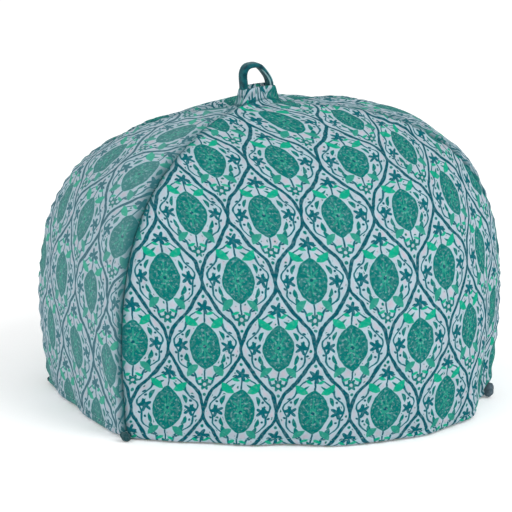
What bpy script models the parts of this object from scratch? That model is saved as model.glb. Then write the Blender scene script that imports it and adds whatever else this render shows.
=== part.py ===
"""A padded cloth tea cosy: four wadded panels sewn along curved seams, and a hanging loop.

Metres, +Z up. The hem stands on Z = 0, the front panel faces -Y and the seams meet over the middle.
"""

import bmesh
import bpy
import numpy as np

# Driving dimensions of the sewn dome
SEAM_X = 0.146            # from the middle to a corner seam, along X
SEAM_Y = 0.0780           # from the middle to a corner seam, along Y
FRONT_Y = 0.160           # how far the front and back panels belly out
SIDE_X = 0.153            # how far the side panels belly out
CROWN_Z = 0.2105          # height of the cloth, without the tuft under the loop
SIDE_DROP = 0.004         # how much lower the side panels end than the front and back
TOP_SEAM_X = 0.0136       # half the short seam that holds the loop
TIP_Y = 0.003             # half the blunt tip of a side panel

# How square each line is, seen from above (reach) and from the side (rise)
SEAM_REACH_POWER, SEAM_DEPTH_POWER, SEAM_RISE_POWER = 2.13, 1.6, 4.6
FRONT_REACH_POWER, FRONT_RISE_POWER = 1.61, 3.6
SIDE_REACH_POWER, SIDE_RISE_POWER = 1.6, 7.4
FRONT_ARC = np.radians(30)
SIDE_ARC = np.radians(60)
FRONT_SKEW = 0.20         # how far the front's belly sags over to the right, as a share of its chord

# The set of the cloth
HEM_DRAW_X, HEM_DRAW_Y = 0.046, 0.068    # share by which the hem is drawn in
DRAW_HEIGHT = 0.09
LEAN_X = 0.0100                          # the shoulders lean a little to one side
CROSSING_X = -0.0090                     # where the seams meet
CROSSING_RADIUS = 0.055
STAND_X = -0.0006                        # sets the middle of the whole cosy over the origin
TUFT_TOP_Z = 0.2184                      # cloth pulled up in a flat collar around the ends of the loop
TUFT_LEFT, TUFT_RIGHT, TUFT_Y = 0.0126, 0.0150, 0.0054
TUFT_POWER = 12
TUFT_INSIDE = 0.3                        # share of the collar's height that the inside follows

# Cloth
WALL = 0.007
SEAM_WALL = 0.0042
SEAM_DIP = 0.0015
GAP = 0.0003

# The hanging loop
LOOP_WIDTH = 0.0085
LOOP_THICK = 0.0030
LOOP_SPAN = 0.0255        # outside, foot to foot
LOOP_TOP_Z = 0.2375
LOOP_YAW = np.radians(10)
LOOP_LEAN_X = -0.0045     # its top hangs over towards the left foot
LOOP_WAIST = 0.12         # share by which its left foot draws in
LOOP_STEPS = 26

# Mesh: shares up a panel, and columns across it
EVEN_ROWS = 15
TOP_ROW_DISTANCES = (0.026, 0.018, 0.012, 0.008, 0.005, 0.0025, 0.0)
WIDE_COLUMNS, SIDE_COLUMNS = 26, 12
DENSE = 1500
NUDGE = 0.004             # share of a curve's length over which its direction is read

# Folds in the set cloth: place as shares across (-1 to 1) and up (0 to 1), half sizes, depth in metres
FOLDS = {
    "front_panel": [
        dict(across=-0.90, up=0.13, half_across=0.07, half_up=0.09, depth=0.0035),
        dict(across=-0.74, up=0.58, half_across=0.13, half_up=0.10, depth=0.0022),
        dict(across=0.80, up=0.62, half_across=0.12, half_up=0.12, depth=0.0008),
        dict(across=0.86, up=0.05, half_across=0.09, half_up=0.16, depth=0.0085),
        dict(across=0.66, up=0.02, half_across=0.12, half_up=0.14, depth=-0.0045),
        dict(across=0.20, up=0.05, half_across=0.20, half_up=0.10, depth=-0.0015),
    ],
    "back_panel": [
        dict(across=-0.86, up=0.20, half_across=0.08, half_up=0.12, depth=0.0028),
        dict(across=0.84, up=0.14, half_across=0.08, half_up=0.10, depth=0.0030),
        dict(across=0.10, up=0.60, half_across=0.30, half_up=0.12, depth=0.0018),
    ],
    "left_side": [
        dict(across=0.30, up=0.46, half_across=0.40, half_up=0.10, depth=0.0022),
        dict(across=-0.40, up=0.12, half_across=0.30, half_up=0.12, depth=0.0018),
    ],
    "right_side": [
        dict(across=-0.20, up=0.48, half_across=0.45, half_up=0.11, depth=0.0006),
        dict(across=0.45, up=0.15, half_across=0.28, half_up=0.12, depth=0.0018),
    ],
}

PRINT_COLOUR = (0.145, 0.352, 0.376)
LOOP_COLOUR = (0.012, 0.092, 0.115)
CLOTH_ROUGHNESS = 0.88


def quarter_curve(reach, rise, reach_power, rise_power):
    """A quarter of a superellipse, from (reach, 0) up to (0, rise), as two dense rows."""
    turn = (1 - np.cos(np.linspace(0, np.pi, DENSE))) * np.pi / 4
    return reach * np.cos(turn) ** (2 / reach_power), rise * np.sin(turn) ** (2 / rise_power)


def seam_curve():
    """The corner seam from the hem to the tip of the side panel, in the quarter with +X and +Y."""
    x, z = quarter_curve(SEAM_X - TOP_SEAM_X, CROWN_Z - SIDE_DROP, SEAM_REACH_POWER, SEAM_RISE_POWER)
    y, _ = quarter_curve(SEAM_Y - TIP_Y, CROWN_Z, SEAM_DEPTH_POWER, SEAM_RISE_POWER)
    return np.stack([x + TOP_SEAM_X, y + TIP_Y, z], -1)


def front_curve():
    """The middle line of the front or back panel, on the +Y side."""
    y, z = quarter_curve(FRONT_Y - TIP_Y, CROWN_Z, FRONT_REACH_POWER, FRONT_RISE_POWER)
    return np.stack([0 * y, y + TIP_Y, z], -1)


def side_curve():
    """The middle line of a side panel, on the +X side."""
    x, z = quarter_curve(SIDE_X - TOP_SEAM_X, CROWN_Z - SIDE_DROP, SIDE_REACH_POWER, SIDE_RISE_POWER)
    return np.stack([x + TOP_SEAM_X, 0 * x, z], -1)


def curve_length(curve):
    """The length along a dense curve at each of its points."""
    steps = np.linalg.norm(np.diff(curve, axis=0), axis=1)
    return np.concatenate([[0], np.cumsum(steps)])


def point_at(curve, share):
    """The points at these shares of a curve's length."""
    length = curve_length(curve)
    return np.stack([np.interp(share * length[-1], length, column) for column in curve.T], -1)


def chord_share(across, arc):
    """Where a point of an arc lies along its chord, from -1 to 1."""
    return np.sin(across * arc) / np.sin(arc)


def bulge_share(across, arc):
    """How far a point of an arc stands off its chord, from 0 at the ends to 1 in the middle."""
    return (np.cos(across * arc) - np.cos(arc)) / (1 - np.cos(arc))


def seam_push(up):
    """A step of half the gap, square to the plane of the seam, from the side panel to the wide one."""
    seam = seam_curve()
    point = point_at(seam, up)
    tangent = point_at(seam, np.clip(up + NUDGE, 0, 1)) - point_at(seam, np.clip(up - NUDGE, 0, 1))
    square = np.cross(tangent, point)
    return GAP / 2 * square / np.linalg.norm(square, axis=-1, keepdims=True)


def wide_skin(across, up, ridge, skew):
    """The outside of the back panel, before the cloth settles. The ridge is its edge in the top seam."""
    seam, middle = point_at(seam_curve(), up), point_at(front_curve(), up)
    chord = chord_share(across, FRONT_ARC)
    skewed = chord - skew * (1 - chord ** 2)
    bulge = bulge_share(np.arcsin(skewed * np.sin(FRONT_ARC)) / FRONT_ARC, FRONT_ARC)[..., None]
    point = seam + (middle - seam) * bulge
    point[..., 0] = seam[..., 0] * chord
    at_edge = np.isclose(np.abs(across), 1)[..., None]
    push = seam_push(up)
    push[..., 0] *= np.sign(across)
    point += push * at_edge
    ends_at_tip = np.isclose(up, 1)
    point[..., 0] -= np.where(ends_at_tip, GAP / 2 * across, 0)
    point[..., 1] = np.where(ridge, GAP / 2, point[..., 1])
    return point


def side_skin(across, up):
    """The outside of the right side panel, before the cloth settles."""
    seam, middle = point_at(seam_curve(), up), point_at(side_curve(), up)
    bulge = bulge_share(across, SIDE_ARC)[..., None]
    point = seam + (middle - seam) * bulge
    point[..., 1] = seam[..., 1] * chord_share(across, SIDE_ARC)
    at_edge = np.isclose(np.abs(across), 1)[..., None]
    push = seam_push(up)
    push[..., 1] *= np.sign(across)
    point -= push * at_edge
    point[..., 0] += np.where(np.isclose(up, 1), GAP / 2, 0)
    return point


def fold_depth(name, across, up):
    """How far the panel's folds press the cloth in, in metres. They fade out at the seams."""
    depth = 0 * up
    for fold in FOLDS[name]:
        reach = ((across - fold["across"]) / fold["half_across"]) ** 2
        rise = ((up - fold["up"]) / fold["half_up"]) ** 2
        depth = depth + fold["depth"] * np.exp(-reach - rise)
    return depth * (1 - across ** 8)


def settled(point, tuft):
    """Where the sewn cloth comes to rest: drawn in at the hem, leaning, and tufted at the loop."""
    x, y, z = np.moveaxis(point, -1, 0)
    low = np.clip(1 - z / DRAW_HEIGHT, 0, 1) ** 2
    high = (z / CROWN_Z) ** 3
    near = np.exp(-(x ** 2 + y ** 2) / CROSSING_RADIUS ** 2)
    x = x * (1 - HEM_DRAW_X * low) + high * (LEAN_X + (CROSSING_X - LEAN_X) * near)
    y = y * (1 - HEM_DRAW_Y * low)
    along = (x - CROSSING_X) * np.cos(LOOP_YAW) + y * np.sin(LOOP_YAW)
    beside = y * np.cos(LOOP_YAW) - (x - CROSSING_X) * np.sin(LOOP_YAW)
    reach = np.where(along < 0, TUFT_LEFT, TUFT_RIGHT)
    off = np.abs(along / reach) ** TUFT_POWER + np.abs(beside / TUFT_Y) ** TUFT_POWER
    return np.stack([x + STAND_X, y, z + tuft * high * (TUFT_TOP_Z - z) / (1 + off)], -1)


def cloth_point(name, across, up, ridge, inside):
    """A point of one panel's cloth, on its outside or inside."""
    wide = name in ("front_panel", "back_panel")
    mirror = {"front_panel": (1, -1, 1), "left_side": (-1, 1, 1)}.get(name, (1, 1, 1))
    skew = FRONT_SKEW if name == "front_panel" else 0
    point = wide_skin(across, up, ridge, skew) if wide else side_skin(across, up)
    wall = SEAM_WALL + (WALL - SEAM_WALL) * (1 - across ** 6)
    depth = fold_depth(name, across, up) + SEAM_DIP * across ** 16 + np.where(inside, wall, 0)
    point = point * (1 - depth / np.linalg.norm(point, axis=-1))[..., None]
    point[..., 1] = np.where(ridge, GAP / 2, point[..., 1])
    return settled(point * mirror, np.where(inside, TUFT_INSIDE, 1))


def row_shares():
    """Shares up a panel for its rows: even, then closer near the tuft."""
    length = curve_length(front_curve())[-1]
    top = 1 - np.array(TOP_ROW_DISTANCES) / length
    return np.concatenate([np.linspace(0, top[0], EVEN_ROWS)[:-1], top])


def column_places(count):
    """Places from -1 to 1 across a panel, closer at the seams."""
    even = np.linspace(-1, 1, count + 1)
    return 0.6 * even + 0.4 * np.sin(even * np.pi / 2)


def material(name, colour):
    """Plain matt cloth."""
    cloth = bpy.data.materials.new(name)
    cloth.use_nodes = True
    shader = cloth.node_tree.nodes["Principled BSDF"]
    shader.inputs["Base Color"].default_value = (*colour, 1)
    shader.inputs["Roughness"].default_value = CLOTH_ROUGHNESS
    shader.inputs["Metallic"].default_value = 0
    cloth.diffuse_color = (*colour, 1)
    return cloth


def add_object(name, bm, colour):
    """A named object of this mesh, with its own material."""
    bm.normal_update()
    bmesh.ops.recalc_face_normals(bm, faces=bm.faces[:])
    mesh = bpy.data.meshes.new(name)
    bm.to_mesh(mesh)
    bm.free()
    mesh.shade_smooth()
    mesh.set_sharp_from_angle(angle=np.radians(40))
    mesh.materials.append(material(name + "_cloth", colour))
    piece = bpy.data.objects.new(name, mesh)
    bpy.context.collection.objects.link(piece)
    return piece


def add_panel(name):
    """One wadded panel: a flat grid of rows and columns, thickened and then laid in its place."""
    wide = name in ("front_panel", "back_panel")
    ups, columns = row_shares(), column_places(WIDE_COLUMNS if wide else SIDE_COLUMNS)
    rows = len(ups) + (1 if wide else 0)
    bm = bmesh.new()
    bmesh.ops.create_grid(bm, x_segments=len(columns) - 1, y_segments=rows - 1, size=0.5)
    inner = bmesh.ops.extrude_face_region(bm, geom=bm.faces[:], use_keep_orig=True)
    inner_points = [item for item in inner["geom"] if isinstance(item, bmesh.types.BMVert)]
    bmesh.ops.translate(bm, vec=(0, 0, -1), verts=inner_points)

    grid = np.array([point.co for point in bm.verts])
    column = np.rint((grid[:, 0] + 0.5) * (len(columns) - 1)).astype(int)
    row = np.rint((grid[:, 1] + 0.5) * (rows - 1)).astype(int)
    ridge = row >= len(ups)
    up = ups[np.minimum(row, len(ups) - 1)]
    places = cloth_point(name, columns[column], up, ridge, grid[:, 2] < -0.5)
    for point, place in zip(bm.verts, places):
        point.co = place
    return add_object(name, bm, PRINT_COLOUR)


def foot_level(panels, foot_x):
    """The height just above the cloth under one foot of the loop."""
    reach = LOOP_WIDTH / 2
    points = [point.co for panel in panels for point in panel.data.vertices]
    return GAP + max(p.z for p in points if abs(p.x - foot_x) < reach and abs(p.y) < 2 * reach)


def loop_line(left_level, right_level):
    """The middle line of the loop's strip in its own plane, foot to foot, as points (x, z)."""
    half = LOOP_SPAN / 2 - LOOP_THICK / 2
    top = LOOP_TOP_Z - LOOP_THICK / 2
    turn = np.linspace(np.pi, 0, LOOP_STEPS + 1)
    level = np.where(turn > np.pi / 2, left_level, right_level)
    rise = np.abs(np.sin(turn)) ** 0.8
    x = half * np.sign(np.cos(turn)) * np.abs(np.cos(turn)) ** 0.85
    waist = np.where(turn > np.pi / 2, LOOP_WAIST, 0) * (1 - rise) ** 2
    x = x * (1 - waist) + LOOP_LEAN_X * rise ** 2
    return np.stack([x, level + (top - level) * rise], -1)


def add_loop(panels):
    """The hanging loop: a flat strip bent into a ring, its feet on the tuft."""
    half = LOOP_SPAN / 2 - LOOP_THICK / 2
    middle = CROSSING_X + STAND_X
    feet = -half * (1 - LOOP_WAIST), half
    levels = [foot_level(panels, middle + foot * np.cos(LOOP_YAW)) for foot in feet]
    line = loop_line(*levels)
    along = np.gradient(line, axis=0)
    along[0] = along[0] * (0, 1)
    along[-1] = along[-1] * (0, 1)
    along /= np.linalg.norm(along, axis=1, keepdims=True)
    outward = np.stack([-along[:, 1], along[:, 0]], -1)

    bm = bmesh.new()
    rings = []
    for place, out in zip(line, outward):
        ring = []
        for side, face in ((-1, -1), (-1, 1), (1, 1), (1, -1)):
            x, z = place + out * side * LOOP_THICK / 2
            y = face * LOOP_WIDTH / 2
            turned_x = x * np.cos(LOOP_YAW) - y * np.sin(LOOP_YAW)
            turned_y = x * np.sin(LOOP_YAW) + y * np.cos(LOOP_YAW)
            ring.append(bm.verts.new((middle + turned_x, turned_y, z)))
        rings.append(ring)
    for ring, following in zip(rings, rings[1:]):
        for k in range(len(ring)):
            bm.faces.new((ring[k - 1], ring[k], following[k], following[k - 1]))
    bm.faces.new(rings[0])
    bm.faces.new(rings[-1])
    return add_object("hanging_loop", bm, LOOP_COLOUR)


def build():
    """The whole cosy."""
    for item in list(bpy.data.objects):
        bpy.data.objects.remove(item)
    panels = [add_panel(name) for name in FOLDS]
    add_loop(panels[:2])


build()
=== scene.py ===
"""Dresses the padded tea cosy: printed cloth panels, hem stitching, rolled seam ends, loop and stage.

Metres in the frame's own axes: +Z up, the hem on Z = 0, the front panel towards -Y. The print is worked
out in millimetres on each panel's own cloth, from its middle line and its hem.
"""

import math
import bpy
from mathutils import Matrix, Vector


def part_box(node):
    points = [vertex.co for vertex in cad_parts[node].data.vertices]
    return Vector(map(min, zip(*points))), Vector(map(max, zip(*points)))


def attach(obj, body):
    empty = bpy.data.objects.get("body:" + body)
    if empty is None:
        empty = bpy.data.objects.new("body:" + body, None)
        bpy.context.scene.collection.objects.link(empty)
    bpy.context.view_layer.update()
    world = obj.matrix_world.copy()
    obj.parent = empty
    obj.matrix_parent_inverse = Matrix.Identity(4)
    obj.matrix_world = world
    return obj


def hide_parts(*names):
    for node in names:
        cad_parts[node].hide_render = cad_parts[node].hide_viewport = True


bl_info = {
    "name": "Padded tea cosy",
    "version": (1, 0, 0),
    "blender": (4, 5, 0),
    "location": "View3D > Sidebar > Tea Cosy",
    "description": "Printed and wadded cloth panels, a hanging loop and a plain studio for a tea cosy",
    "category": "Object",
}

import bpy
import numpy as np
from mathutils import Matrix, Vector

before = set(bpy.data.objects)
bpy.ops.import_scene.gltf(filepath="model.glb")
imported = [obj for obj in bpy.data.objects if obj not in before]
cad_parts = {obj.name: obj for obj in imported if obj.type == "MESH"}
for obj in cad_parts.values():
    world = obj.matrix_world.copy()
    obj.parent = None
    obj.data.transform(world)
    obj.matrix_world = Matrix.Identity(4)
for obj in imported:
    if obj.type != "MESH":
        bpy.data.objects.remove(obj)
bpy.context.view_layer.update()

PANELS = ("front_panel", "back_panel", "left_side", "right_side")
WIDE_PANELS = ("front_panel", "back_panel")
MIRRORS = {"front_panel": (1, -1, 1), "left_side": (-1, 1, 1)}

# The sewn dome, with the same lines as its solids
SEAM_X, SEAM_Y = 0.146, 0.0780
FRONT_Y, SIDE_X = 0.160, 0.153
CROWN_Z, SIDE_DROP = 0.2105, 0.004
TOP_SEAM_X, TIP_Y = 0.0136, 0.003
SEAM_REACH_POWER, SEAM_DEPTH_POWER, SEAM_RISE_POWER = 2.13, 1.6, 4.6
FRONT_REACH_POWER, FRONT_RISE_POWER = 1.61, 3.6
SIDE_REACH_POWER, SIDE_RISE_POWER = 1.6, 7.4
FRONT_ARC, SIDE_ARC = math.radians(30), math.radians(60)
FRONT_SKEW = 0.20
HEM_DRAW_X, HEM_DRAW_Y, DRAW_HEIGHT = 0.046, 0.068, 0.09
LEAN_X, CROSSING_X, CROSSING_RADIUS, STAND_X = 0.0100, -0.0090, 0.055, -0.0006
TUFT_TOP_Z, TUFT_POWER, TUFT_INSIDE = 0.2184, 12, 0.3
TUFT_LEFT, TUFT_RIGHT, TUFT_Y = 0.0136, 0.0150, 0.0054
TUFT_RIM, TUFT_RIM_AT, TUFT_RIM_WIDTH = 0.0036, 0.89, 0.11
WALL, SEAM_WALL = 0.007, 0.0042
LOOP_YAW, LOOP_LEAN_X, LOOP_WAIST = math.radians(10), -0.0045, 0.12
FADE_FROM_Z = 0.180       # above this the seams lie flatter and flatter
GAP = 0.00004             # the sewn panels all but touch
NUDGE = 0.004             # share of a seam over which its direction is taken
DENSE = 1500              # points on each driving curve

# Rows and columns of the finished cloth, and the bands with rows of their own at the hem and the tuft
WIDE_COLUMNS, SIDE_COLUMNS, EVEN_SHARE = 220, 96, 0.6
HEM_ROWS, BODY_ROWS, TUFT_ROWS, RIDGE_ROWS = 8, 112, 88, 5
HEM_BAND, TUFT_BAND = 0.005, 0.030

# How the wadding shows: widths, pitches and reaches in metres, the rest as shares or angles
SWELL_PITCH, RIPPLE_PITCH, RIPPLE_SHARE = 0.050, 0.019, 0.25
FLAT_EDGE, INNER_SHARE, TUFT_LEAST = 0.012, 0.6, 0.1
GATHER_WANDER = ((1.7, 0.0123), (1.1, 0.0071))    # turn and pitch of each wave
GATHER_OFFSET, GATHER_SLANT, GATHER_SIZE = 1.9, 90, 1.6
GATHER_START, GATHER_FADE, GATHER_LEAST = 0.0022, 0.080, 0.2
PLEATS, PLEAT_WANDER, PLEAT_RING, PLEAT_WIDTH, TUFT_FLATNESS = 11, 1.5, 0.021, 0.007, 1.9
HEM_WAVE_PITCH, HEM_WAVE_REACH, HEM_TURN = 0.045, 0.030, 0.62
GROOVE_WIDTH, BULGE_SHARE, BULGE_AT, BULGE_WIDTH = 0.0012, 0.5, 2.6, 0.006
ROLL_FADE, TOP_ROLL_REACH, TOP_ROLL_SHARE = 0.9, 0.0036, 0.08
# Painted shade along the seams, and painted shadows of the fold lines round the tuft
SHADE_WIDTH, SHADE_FADE = 0.0048, 0.7
FOLD_SHADES = ((1.0, 1.16, 0.05), (0.6, 0.99, 0.012))    # strength, place off the tuft and width of each

# Broad dents in the set cloth, as in its solids: place across from -1 to 1 and up from 0 to 1, half width
# and half height in the same shares, and depth in metres
DENTS = {
    "front_panel": (
        (-0.90, 0.13, 0.07, 0.09, 0.0035),
        (-0.74, 0.58, 0.13, 0.10, 0.0022),
        (0.80, 0.62, 0.12, 0.12, 0.0008),
        (0.86, 0.05, 0.09, 0.16, 0.0085),
        (0.66, 0.02, 0.12, 0.14, -0.0045),
        (0.20, 0.05, 0.20, 0.10, -0.0015),
    ),
    "back_panel": (
        (-0.86, 0.20, 0.08, 0.12, 0.0028),
        (0.84, 0.14, 0.08, 0.10, 0.0030),
        (0.10, 0.60, 0.30, 0.12, 0.0018),
    ),
    "left_side": (
        (0.30, 0.46, 0.40, 0.10, 0.0022),
        (-0.40, 0.12, 0.30, 0.12, 0.0018),
    ),
    "right_side": (
        (-0.20, 0.48, 0.45, 0.11, 0.0006),
        (0.45, 0.15, 0.28, 0.12, 0.0018),
    ),
}

# Main creases, in metres on the flat cloth: both ends, half width and depth
CREASES = {
    "front_panel": (
        ((-0.150, 0.020), (-0.118, 0.085), 0.006, 0.0016),
        ((-0.120, 0.215), (-0.085, 0.175), 0.007, 0.0014),
        ((-0.060, 0.262), (-0.020, 0.236), 0.006, 0.0010),
        ((0.062, 0.252), (0.095, 0.212), 0.008, 0.0013),
        ((0.150, 0.030), (0.128, 0.110), 0.007, 0.0016),
        ((0.020, 0.000), (0.032, 0.045), 0.009, -0.0010),
        ((-0.050, 0.000), (-0.062, 0.038), 0.008, 0.0010),
    ),
    "back_panel": (
        ((-0.140, 0.020), (-0.108, 0.090), 0.008, 0.0016),
        ((0.128, 0.015), (0.100, 0.100), 0.007, 0.0014),
        ((0.045, 0.262), (0.080, 0.214), 0.008, 0.0012),
        ((-0.020, 0.000), (-0.010, 0.050), 0.010, 0.0012),
    ),
    "left_side": (
        ((-0.062, 0.010), (-0.030, 0.090), 0.007, 0.0013),
        ((0.050, 0.150), (0.006, 0.178), 0.008, 0.0014),
        ((0.010, 0.000), (0.004, 0.045), 0.009, 0.0011),
    ),
    "right_side": (
        ((0.058, 0.016), (0.028, 0.096), 0.007, 0.0013),
        ((-0.048, 0.146), (-0.010, 0.180), 0.008, 0.0013),
        ((-0.020, 0.000), (-0.014, 0.050), 0.010, -0.0010),
    ),
}

# Where each panel was cut from the printed cloth, and how much painted sheen greys it, the paler look that
# grazing light gives a side
CUTS = {
    "front_panel": dict(shift=(6.0, 20.0), painted_sheen=0.0),
    "back_panel": dict(shift=(-14.0, 43.0), painted_sheen=0.0),
    "left_side": dict(shift=(12.0, 41.0), painted_sheen=0.17),
    "right_side": dict(shift=(-25.0, 8.0), painted_sheen=0.06),
}

# The hem corners where a seam ends: side along X and Y, how far its roll has slipped from the corner,
# its lean in degrees, its size as a share of the largest, and whether it is grey
SEAM_ENDS = {
    "seam_end_front_left": dict(side=(-1, -1), slip=(-0.0003, -0.0026), lean=58, size=0.80, grey=False),
    "seam_end_front_right": dict(side=(1, -1), slip=(-0.0066, -0.0115), lean=14, size=1.0, grey=True),
    "seam_end_back_left": dict(side=(-1, 1), slip=(0.0020, -0.0010), lean=70, size=0.60, grey=False),
    "seam_end_back_right": dict(side=(1, 1), slip=(-0.0010, 0.0005), lean=55, size=0.70, grey=True),
}

# The stitches: how far they stand out and dip in, in thread radii, and where they bend, in stitch lengths
STITCH_RISE, STITCH_DIP, STITCH_BENDS = 0.2, 1.5, (-0.28, 0, 0.28)

# The rolled seam ends: rings of their coiled faces as inset and rise in radii, the twist of their drum as
# depth, folds and turn, how the drum narrows and is rounded off, and how it tilts and spins to its corner
COIL = ((0.22, 0.16), (0.20, 0.10), (0.18, -0.12), (0.16, 0.10))
TWIST = ((0.10, 2, 6.6), (0.05, 5, -8.6))
BARREL, DRUM_SIDES, DRUM_BEVEL = 0.65, 14, 0.06
TILT_X, TILT_Y, SPIN_X, SPIN_Y = 0.4, 0.9, 0.9, 0.4

# The loop's strip: its points, its rounded edges, the groove of its seams, its wander and its bow
LOOP_STEPS, LOOP_STRANDS, LOOP_LINE = 96, 12, 241
LOOP_EDGE_POWER, LOOP_EDGE_LEAST = 5, 0.02
LOOP_GROOVE, LOOP_GROOVE_AT, LOOP_GROOVE_WIDTH = 0.10, 0.72, 0.07
LOOP_WANDER = ((0.00025, 9, 0), (0.0002, 23, 1))    # reach, turns and start of each wave
LOOP_SWELL, LOOP_SWELL_TURN = 0.04, 14
LOOP_RISE_POWER, LOOP_REACH_POWER = 0.8, 0.85

# How cloth takes the light: its sheen and gloss, its bump in metres and its crumples in millimetres
SHEEN_ROUGHNESS, GLOSS = 0.45, 0.04
BUMP_STRENGTH, BUMP_DEPTH, CRUMPLE_PITCH = 0.55, 0.001, 3.2

# The print's ink edge in millimetres, the colour of the painted sheen that greys the sides, and the colour of
# the painted shade in the seams and round the tuft with its strongest share
INK_EDGE = 0.35
PAINTED_SHEEN_COLOUR = (0.30, 0.40, 0.45)
PAINTED_SHADE, PAINTED_SHADE_SHARE = (0.006, 0.080, 0.092), 0.84

# The stage: the floor in metres, the camera's sensor in millimetres and the photo's side in pixels
FLOOR_SIZE, FLOOR_Z = 24, -0.0006
SENSOR, PICTURE = 36.0, 512


def length_value(name, description, default):
    """A size in metres that a user can change."""
    return bpy.props.FloatProperty(name=name, description=description, default=default, min=0,
                                   unit="LENGTH", precision=4)


def share_value(name, description, default):
    """A plain factor that a user can change."""
    return bpy.props.FloatProperty(name=name, description=description, default=default, min=0)


def colour_value(name, description, default):
    """A colour that a user can change."""
    return bpy.props.FloatVectorProperty(name=name, description=description, default=default,
                                         size=3, min=0, max=1, subtype="COLOR")


class CosyCloth(bpy.types.PropertyGroup):
    """How the wadded cloth is sewn and how it lies."""

    seam_roll: length_value("Seam roll", "How deep a panel's edge rolls into its seam", 0.0042)
    seam_roll_reach: length_value("Seam roll reach", "How far from the seam the roll starts", 0.0075)
    pucker_depth: length_value("Pucker depth", "Depth of the small gathers along a seam", 0.0011)
    pucker_reach: length_value("Pucker reach", "How far the gathers run out from a seam", 0.0130)
    pucker_pitch: length_value("Pucker pitch", "Distance from one gather to the next", 0.0125)
    dent_depth: length_value("Unevenness", "Depth of the soft unevenness of the wadding", 0.0009)
    settling: length_value("Settling", "How far the wadding has gone down all over", 0.0007)
    hem_round: length_value("Hem round", "Radius of the rolled lower edge", 0.0032)
    hem_line: length_value("Hem line", "Height of the hem's stitching", 0.0052)
    hem_groove: length_value("Hem groove", "How deep the hem's stitching pulls the cloth in", 0.0007)
    hem_wave: length_value("Hem wave", "How far the hem wanders in and out", 0.0011)
    pleat_depth: length_value("Pleat depth", "Depth of the pleats in the tuft under the loop", 0.0008)


class CosyPrint(bpy.types.PropertyGroup):
    """The block print, in the colours of the cloth."""

    repeat_width: length_value("Repeat width", "Width of one ogee of the print", 0.050)
    repeat_height: length_value("Repeat height", "Height of one ogee of the print", 0.092)
    halo: colour_value("Halo", "Bleached cloth close round the ink", (0.322, 0.457, 0.512))
    ground: colour_value("Ground", "Pale ground of the cloth", (0.362, 0.425, 0.482))
    blush: colour_value("Blush", "Warmer patches in the ground", (0.440, 0.390, 0.452))
    deep: colour_value("Deep teal", "Darkest ink", (0.001, 0.075, 0.100))
    blue: colour_value("Blue teal", "Ink of the thinner vines and stars", (0.001, 0.100, 0.124))
    teal: colour_value("Teal", "Main ink", (0.001, 0.136, 0.124))
    sea: colour_value("Sea green", "Lighter ink", (0.020, 0.240, 0.180))
    leaf: colour_value("Leaf green", "Leaves", (0.003, 0.300, 0.185))
    lining: colour_value("Lining", "Plain cloth inside", (0.620, 0.610, 0.560))


class CosyThread(bpy.types.PropertyGroup):
    """The stitches along the hem."""

    length: length_value("Stitch length", "Length of one stitch", 0.0026)
    pitch: length_value("Stitch pitch", "Distance from one stitch to the next", 0.0036)
    radius: length_value("Thread radius", "Half the thickness of the thread", 0.00026)
    colour: colour_value("Thread", "Colour of the thread", (0.300, 0.480, 0.500))


class CosyLoop(bpy.types.PropertyGroup):
    """The hanging loop and the rolled ends of the seams."""

    width: length_value("Loop width", "Width of the folded strip", 0.0085)
    thickness: length_value("Loop thickness", "Thickness of the folded strip", 0.0036)
    span: length_value("Loop span", "Outside width of the loop, foot to foot", 0.0255)
    sunk: length_value("Sunk feet", "How far the feet go down into the cloth", 0.0045)
    dark: colour_value("Loop dark", "Darker cloth of the loop", (0.001, 0.038, 0.054))
    light: colour_value("Loop light", "Print showing on the loop", (0.008, 0.125, 0.140))
    # The loop edge colour is a painted highlight along the fold of the loop's edge
    edge: colour_value("Loop edge", "Pale fold along the loop's edge", (0.300, 0.480, 0.500))
    end_radius: length_value("Seam end radius", "Half the thickness of a rolled seam end", 0.0037)
    end_length: length_value("Seam end length", "Length of a rolled seam end", 0.0082)
    end_grey: colour_value("Seam end grey", "Grey cloth of a rolled seam end", (0.050, 0.080, 0.100))
    end_teal: colour_value("Seam end teal", "Teal cloth of a rolled seam end", (0.004, 0.045, 0.052))


class CosyStage(bpy.types.PropertyGroup):
    """The floor, the lights and the camera."""

    floor: colour_value("Floor", "Pale studio floor", (0.955, 0.955, 0.955))
    glow: share_value("Floor glow", "Strength of the light from below the floor", 0.12)
    sky: share_value("Room light", "Strength of the light from all round", 0.86)
    key: share_value("Main light", "Power of the large soft light, in watts", 26.0)
    fill: share_value("Second light", "Power of the smaller soft light, in watts", 9.0)
    azimuth: bpy.props.FloatProperty(name="Azimuth", description="Camera's turn towards the left side",
                                     default=math.radians(23.7), subtype="ANGLE")
    elevation: bpy.props.FloatProperty(name="Elevation", description="Camera's height above the horizon",
                                       default=math.radians(15.5), subtype="ANGLE")
    distance: length_value("Distance", "From the camera to the point looked at", 3.0)
    aim_x: bpy.props.FloatProperty(name="Aim along", description="Point looked at, to the right",
                                   default=-0.0084, unit="LENGTH", precision=4)
    aim_z: length_value("Aim height", "Height of the point looked at", 0.0961)
    focal: share_value("Focal length", "Camera's focal length, in pixels of the picture", 4263.0)
    shift: bpy.props.FloatProperty(name="Shift", description="Picture moved sideways, in pixels",
                                   default=-1.0)


def quarter_curve(reach, rise, reach_power, rise_power):
    """A quarter of a superellipse, from (reach, 0) up to (0, rise), as two dense rows."""
    turn = (1 - np.cos(np.linspace(0, np.pi, DENSE))) * np.pi / 4
    return reach * np.cos(turn) ** (2 / reach_power), rise * np.sin(turn) ** (2 / rise_power)


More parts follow.
